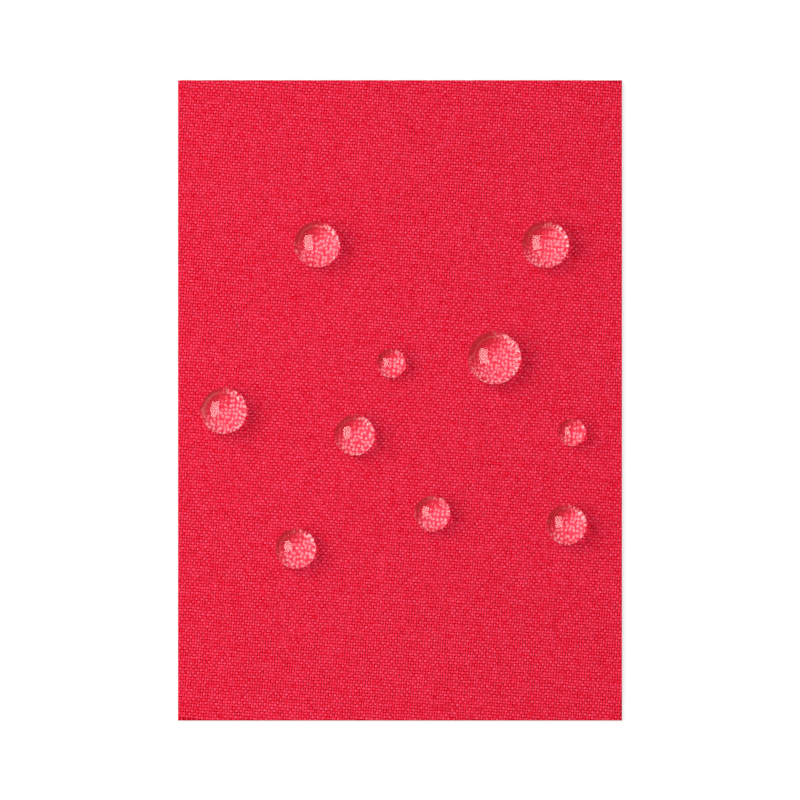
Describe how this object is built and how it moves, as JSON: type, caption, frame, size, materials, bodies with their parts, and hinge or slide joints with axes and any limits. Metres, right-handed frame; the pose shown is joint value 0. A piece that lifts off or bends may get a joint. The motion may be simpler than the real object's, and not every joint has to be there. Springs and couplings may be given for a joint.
{
  "type": "water-repellent woven fabric panel with water beads",
  "caption": "Flat rectangle of red plain-woven water-repellent cloth with clear beads of water standing on its face, free to run down it when it is tipped.",
  "frame": {"origin": "on the underside of the coating, at the middle of the panel", "axes": "+X to the right along the short cut edge, +Y up the long cut edge, +Z out of the face of the cloth"},
  "size_m": [0.0444, 0.0654, 0.0036],
  "materials": {
    "yarn": "plain woven, slight sheen, water repellent",
    "coating": "thin smooth satin film",
    "water": "clear, wet gloss"
  },
  "bodies": {
    "cloth": {"warp_yarns": "yarn", "weft_yarns": "yarn", "back_coating": "coating"},
    "bead_upper_left": {"bead_upper_left": "water"},
    "bead_upper_right": {"bead_upper_right": "water"},
    "bead_middle_small": {"bead_middle_small": "water"},
    "bead_middle_large": {"bead_middle_large": "water"},
    "bead_far_left": {"bead_far_left": "water"},
    "bead_middle_left": {"bead_middle_left": "water"},
    "bead_right_small": {"bead_right_small": "water"},
    "bead_lower_middle": {"bead_lower_middle": "water"},
    "bead_lower_right": {"bead_lower_right": "water"},
    "bead_lower_left": {"bead_lower_left": "water"}
  },
  "joints": [
    {"name": "upper_left_run", "type": "slide", "parent": "cloth", "child": "bead_upper_left", "axis": [0, -1, 0], "range_m": [0, 0.0165]},
    {"name": "upper_right_run", "type": "slide", "parent": "cloth", "child": "bead_upper_right", "axis": [0, -1, 0], "range_m": [0, 0.0097]},
    {"name": "middle_small_run", "type": "slide", "parent": "cloth", "child": "bead_middle_small", "axis": [0, -1, 0], "range_m": [0, 0.0058]},
    {"name": "middle_large_run", "type": "slide", "parent": "cloth", "child": "bead_middle_large", "axis": [0, -1, 0], "range_m": [0, 0.0339]},
    {"name": "far_left_run", "type": "slide", "parent": "cloth", "child": "bead_far_left", "axis": [0, -1, 0], "range_m": [0, 0.0288]},
    {"name": "middle_left_run", "type": "slide", "parent": "cloth", "child": "bead_middle_left", "axis": [0, -1, 0], "range_m": [0, 0.0266]},
    {"name": "right_small_run", "type": "slide", "parent": "cloth", "child": "bead_right_small", "axis": [0, -1, 0], "range_m": [0, 0.0057]},
    {"name": "lower_middle_run", "type": "slide", "parent": "cloth", "child": "bead_lower_middle", "axis": [0, -1, 0], "range_m": [0, 0.0188]},
    {"name": "lower_right_run", "type": "slide", "parent": "cloth", "child": "bead_lower_right", "axis": [0, -1, 0], "range_m": [0, 0.0174]},
    {"name": "lower_left_run", "type": "slide", "parent": "cloth", "child": "bead_lower_left", "axis": [0, -1, 0], "range_m": [0, 0.015]}
  ]
}
